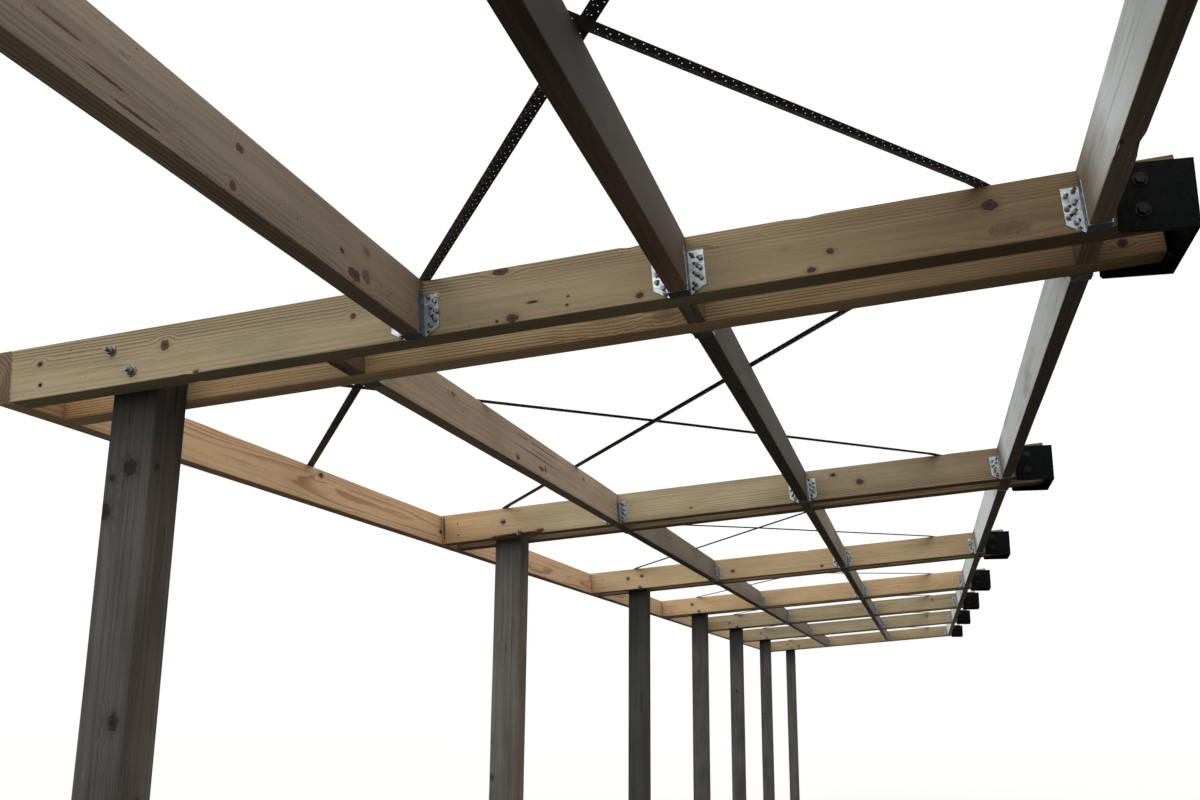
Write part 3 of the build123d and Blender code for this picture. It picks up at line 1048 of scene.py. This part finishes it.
# Fastenings: each shape is turned from (radius, height) profiles in millimetres, and stands on its bearing
# face along +Z
washer = (20, [(0, -0.5), (14.5, -0.5), (15, 0.4), (15, 2.2), (14.4, 2.7), (0, 2.7)])
boltEnd = [(6 - 0.6 * (k % 2), 12.5 + k) for k in range(12)]
fasteningShapes = {
    "nail": [(8, [(0, -0.5), (1.9, -0.5), (1.9, 1.2), (4.5, 1.5), (4.6, 2.4), (3.2, 3.1), (0, 3.2)])],
    "hangerNail": [(8, [(0, -0.5), (2.1, -0.5), (2.1, 3.6), (5.2, 4), (5.3, 5.1), (3.7, 5.9), (0, 6)])],
    # a dark disc proud of the flange: a spare hole and the painted shadow of a nail's head
    "spareHole": [(8, [(4.4, -0.5), (4.4, 0.2), (3.7, 0.3), (0, 0.1)])],
    "screw": [
        (10, [(0, -0.5), (6.2, -0.5), (6.2, 0.8), (5, 2.2), (0, 3)]),
        (20, [(0, -0.5), (8.5, -0.5), (8.5, 0.4), (0, 0.5)]),
    ],
    "nut": [
        washer,
        (6, [(0, 2.5), (9.8, 2.5), (11.2, 4), (11.2, 11.2), (9.8, 12.5), (0, 12.5)]),
        (10, [(0, 10), *boltEnd, (4.8, 25.2), (0, 25.2)]),
    ],
    "head": [washer, (6, [(0, 2.5), (11.2, 2.5), (11.2, 9), (9.8, 10.2), (0, 10.2)])],
}
fasteningEdge = 35  # degrees; sharper edges of a fastener stay sharp
hexagon = 6  # sides of a nut or a bolt head, which stay flat


def turnedShape(name, parts):
    bm = bmesh.new()
    for sides, profile in parts:
        rings = []
        for radius, height in profile:
            if radius == 0:
                rings.append([bm.verts.new((0, 0, height / 1000))] * sides)
                continue
            ring = []
            for k in range(sides):
                angle = math.tau * k / sides
                point = (radius * math.cos(angle), radius * math.sin(angle), height)
                ring.append(bm.verts.new([size / 1000 for size in point]))
            rings.append(ring)
        for low, high in zip(rings, rings[1:]):
            for k in range(sides):
                corners = [low[k], low[(k + 1) % sides], high[(k + 1) % sides], high[k]]
                face = bm.faces.new(list(dict.fromkeys(corners)))
                face.smooth = sides > hexagon
    bmesh.ops.recalc_face_normals(bm, faces=bm.faces)
    mesh = meshFrom(bm, name)
    mesh.set_sharp_from_angle(angle=math.radians(fasteningEdge))
    shape = bpy.data.objects.new(name, mesh)
    scene.collection.objects.link(shape)
    return shape


fasteningTree = makeFasteningTree()
shapes = {name: turnedShape(name, parts) for name, parts in fasteningShapes.items()}
chance = random.Random(77)
# each piece: the shape, material, slot and seed of its fasteners, and whether the roof's fall turns them
fastenings = {
    "nails": ("nail", "nail", "galvanised_steel", 3, True),
    # the hanger nails take the darker bolt steel as painted shade on their heads
    "hangerNails": ("hangerNail", "bolt", "galvanised_steel", 10, True),
    # dark discs beside the hanger nails: spare holes and painted shadows of their heads
    "hangerHoles": ("spareHole", "blackBolt", "galvanised_steel", 11, True),
    "endNails": ("nail", "blackBolt", "galvanised_steel", 9, True),
    "screws": ("screw", "bolt", "galvanised_steel", 8, True),
    "postNuts": ("nut", "bolt", "galvanised_steel", 4, True),
    "postBoltHeads": ("head", "bolt", "galvanised_steel", 5, True),
    "bracketNuts": ("head", "blackBolt", "black_steel", 6, False),
    "bracketHeads": ("head", "blackBolt", "black_steel", 7, False),
}
places = {name: [] for name in fastenings}


def addPlace(name, point, facing, size=1.0):
    places[name].append((point, facing, size))


def fasten(name, shape, material, slot, seed, turned):
    # one piece, with a fastener on each of its places
    turn = roofTurn if turned else Matrix()
    mesh = bpy.data.meshes.new(name)
    mesh.from_pydata([turn @ Vector(point) for point, *_ in places[name]], [], [])
    for label, kind in (("facing", "FLOAT_VECTOR"), ("size", "FLOAT")):
        mesh.attributes.new(label, kind, "POINT")
    for index, (_, facing, size) in enumerate(places[name]):
        mesh.attributes["facing"].data[index].vector = turn.to_3x3() @ Vector(facing)
        mesh.attributes["size"].data[index].value = size
    values = {"Shape": shapes[shape], "Seed": seed, "Material": steelMaterials[material]}
    newPiece(name, runTree(name, mesh, fasteningTree, values))


# hangers: nails in each flange, as (distance from the joist's face, distance down), each beside a dark disc
# that stands for a spare hole and paints the shadow of the nail's head
hangerSetup = {
    "nails": (
        (0.012, 0.010), (0.028, 0.020), (0.015, 0.033), (0.028, 0.044), (0.017, 0.054), (0.027, 0.066),
        (0.014, 0.078), (0.013, 0.094),
    ),
    "sheet": 0.002,
    "flange": 0.036,
    "jitter": 0.003,
    "tilt": 0.45,
    "sizes": (0.9, 1.15),
    "holeAndShadowShift": (0.0045, 0.0035),
}


def nailHanger(low, high, toCamera, sides):
    setup = hangerSetup
    outward = -1.0 if toCamera else 1.0
    face = high.y - setup["sheet"] if toCamera else low.y + setup["sheet"]
    shiftX, shiftZ = setup["holeAndShadowShift"]
    for side in sides:
        joistFace = low.x + setup["flange"] if side < 0 else high.x - setup["flange"]
        for out, down in setup["nails"]:
            x = joistFace + side * (out + chance.uniform(-1, 1) * setup["jitter"])
            z = high.z - down + chance.uniform(-1, 1) * setup["jitter"]
            tiltX, tiltZ = [chance.uniform(-1, 1) * setup["tilt"] for _ in range(2)]
            addPlace("hangerNails", (x, face, z), (tiltX, outward, tiltZ), chance.uniform(*setup["sizes"]))
            addPlace("hangerHoles", (x - side * shiftX, face, z + shiftZ), (0, outward, 0))


for line in joistLines:
    for index, (low, high) in enumerate(solidBoxes(f"joist_hangers_line_{line}")):
        nailHanger(low, high, index % 2 == 1, (-1,) if line == 3 else (-1, 1))

# frames: bolts through the beams and the post, bolts through the bracket, nails into the ends
boltSetup = {
    "post": {  # places read from the photo; the other frames have one pattern
        2: ((-2.542, 0.024), (-2.483, -0.038)),
        3: ((-2.519, 0.008), (-2.441, -0.054)),
        4: ((-2.566, 0.011), (-2.486, -0.060)),
        5: ((-2.559, 0.016), (-2.503, -0.051)),
        6: ((-2.570, -0.003), (-2.490, -0.053)),
    },
    "otherPost": ((-2.55, 0.02), (-2.485, -0.045)),
    "bracket": ((-0.106, 0.013), (-0.106, -0.054)),
    "bracketSize": 1.07,
    "plate": 0.008,
    "anchorUp": 0.045,
    "anchorIn": 0.01,  # how far the anchors stand from the middle of a beam, to the outside of the pair
    "anchorSize": 0.9,
    "bracketDrop": 0.023,
    "endNails": ((0.085, 0.020), (0.088, -0.036)),
    "endNailSize": 0.7,
    "endNailLean": (0.25, 0.1),
}


def boltFrame(number, setup):
    near, far = solidBoxes(f"near_beam_{number}")[0], solidBoxes(f"far_beam_{number}")[0]
    plate = setup["plate"]
    for x, z in setup["post"].get(number, setup["otherPost"]):
        addPlace("postNuts", (x, near[0].y, z), (0, -1, 0))
        addPlace("postBoltHeads", (x, far[1].y, z), (0, 1, 0))
    for x, z in setup["bracket"]:
        addPlace("bracketNuts", (x, near[0].y - plate, z), (0, -1, 0), setup["bracketSize"])
        addPlace("bracketHeads", (x, far[1].y + plate, z), (0, 1, 0), setup["bracketSize"])
    for beam, sign in ((near, -1), (far, 1)):
        y = (beam[0].y + beam[1].y) / 2 + sign * setup["anchorIn"]
        for up in (-1, 1):
            z = up * setup["anchorUp"] - setup["bracketDrop"]
            addPlace("bracketHeads", (-plate, y, z), (-1, 0, 0), setup["anchorSize"])
    for out, up in setup["endNails"]:
        for beam, facing in ((near, -1), (far, 1)):
            y = beam[0].y if facing < 0 else beam[1].y
            facingOut = (setup["endNailLean"][0], facing, setup["endNailLean"][1])
            addPlace("endNails", (beam[0].x + out, y, up), facingOut, setup["endNailSize"])


for number in range(1, frameCount + 1):
    boltFrame(number, boltSetup)

# fascia: two nails into the end of every beam it covers
fasciaNails = {"up": (-0.035, 0.03), "jitterAlong": 0.012, "jitterUp": 0.008}


def nailFascia(low, high, beamName, setup):
    beam = solidBoxes(beamName)[0]
    middle = (beam[0].y + beam[1].y) / 2
    if low.y < middle < high.y:
        for up in setup["up"]:
            y = middle + chance.uniform(-setup["jitterAlong"], setup["jitterAlong"])
            z = up + chance.uniform(-setup["jitterUp"], setup["jitterUp"])
            addPlace("nails", (low.x, y, z), (-1, 0, 0))


for number in range(1, fasciaCount + 1):
    low, high = solidBoxes(f"fascia_{number}")[0]
    for frameNumber in range(1, frameCount + 1):
        for side in ("near", "far"):
            nailFascia(low, high, f"{side}_beam_{frameNumber}", fasciaNails)

# straps: four nails at each end, as (distance along, distance across)
strapNails = {"places": ((0.010, -0.006), (0.014, 0.007), (0.030, -0.007), (0.034, 0.006)), "size": 0.9}
for node in ("lower_straps", "upper_straps", "long_strap"):
    for route in strapRoutes(node):
        for end, inward in ((route[0], route[1] - route[0]), (route[-1], route[-2] - route[-1])):
            run = Vector((inward.x, inward.y, 0)).normalized()
            side = Vector((-run.y, run.x, 0))
            for along, across in strapNails["places"]:
                spot = end + run * along + side * across
                point = (spot.x, spot.y, end.z + strapSetup["thickness"])
                addPlace("nails", point, (0, 0, 1), strapNails["size"])

addPlace("screws", (-1.663, -0.142, 0.026), (0.1, -1, 0.1))
for name, choices in fastenings.items():
    fasten(name, *choices)
for shape in shapes.values():
    bpy.data.objects.remove(shape)
print("fastenings made:", len(places["nails"]) + len(places["hangerNails"]), "nails")

# Floor and light
stageSetup = {
    "floorSize": 60.0,
    "floorDrop": 0.0005,
    "floorColour": (0.8, 0.8, 0.79),
    "floorNear": (0.02, 0.018, 0.016),
    "floorFar": (0.34, 0.33, 0.31),
    "nearReach": 5.0,
    "farReach": 15.0,
    "floorRough": 0.9,
    "floorSpecular": 0.1,
    "skyStart": -0.05,
    "skyEnd": 0.12,
    "skyLow": 0.05,
    "skyHigh": 1.05,
    "sunStrength": 1.45,
    "sunSpread": 50,
    "sunColour": (1.0, 0.97, 0.93),
    "sunFrom": (-0.35, -1.0, 0.55),
}


def makeFloor(setup):
    low, high = cadBox
    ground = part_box("post_1")[0].z
    middleX, middleY = (low[0] + high[0]) / 2, (low[1] + high[1]) / 2
    bm = bmesh.new()
    bmesh.ops.create_grid(bm, x_segments=4, y_segments=4, size=setup["floorSize"] / 2)
    bmesh.ops.translate(bm, verts=bm.verts, vec=Vector((middleX, middleY, ground - setup["floorDrop"])))
    mesh = meshFrom(bm, "studioFloor")
    floor = bpy.data.objects.new("studioFloor", mesh)
    scene.collection.objects.link(floor)
    material, make, shader = newMaterial("studioFloor")
    seen = make.node("ShaderNodeLightPath").outputs["Is Camera Ray"]
    # for light bouncing off it the floor is dark near the frame and pale far off, as painted shade round the
    # frame; the camera sees it evenly pale
    away = make.length(make.vector("SUBTRACT", make.objectPlace(), (middleX, middleY, ground)))
    away = make.spread(away, setup["nearReach"], setup["farReach"])
    bounce = make.mix(away, setup["floorNear"], setup["floorFar"])
    make.finish(shader, {
        "Base Color": make.mix(seen, bounce, setup["floorColour"]),
        "Roughness": setup["floorRough"],
        "Specular IOR Level": setup["floorSpecular"],
    })
    mesh.materials.append(material)


def makeLight(setup):
    world = bpy.data.worlds.new("studioSky")
    scene.world = world
    world.use_nodes = True
    make = Maker(world.node_tree)
    path = make.node("ShaderNodeLightPath").outputs
    direct = make.math("MAXIMUM", path["Is Camera Ray"], path["Is Transmission Ray"])
    where = make.split(make.node("ShaderNodeTexCoord").outputs["Generated"])
    sky = make.spread(where["Z"], setup["skyStart"], setup["skyEnd"], setup["skyLow"], setup["skyHigh"])
    strength = make.math("MAXIMUM", direct, sky)
    make.finish(world.node_tree.nodes["Background"], {"Strength": strength, "Color": (1, 1, 1)})
    lamp = bpy.data.lights.new("softSun", "SUN")
    lamp.energy = setup["sunStrength"]
    lamp.angle = math.radians(setup["sunSpread"])
    lamp.color = setup["sunColour"]
    sun = bpy.data.objects.new("softSun", lamp)
    sun.rotation_euler = Vector(setup["sunFrom"]).to_track_quat("Z", "Y").to_euler()
    scene.collection.objects.link(sun)


makeFloor(stageSetup)
makeLight(stageSetup)
print("floor and light made")
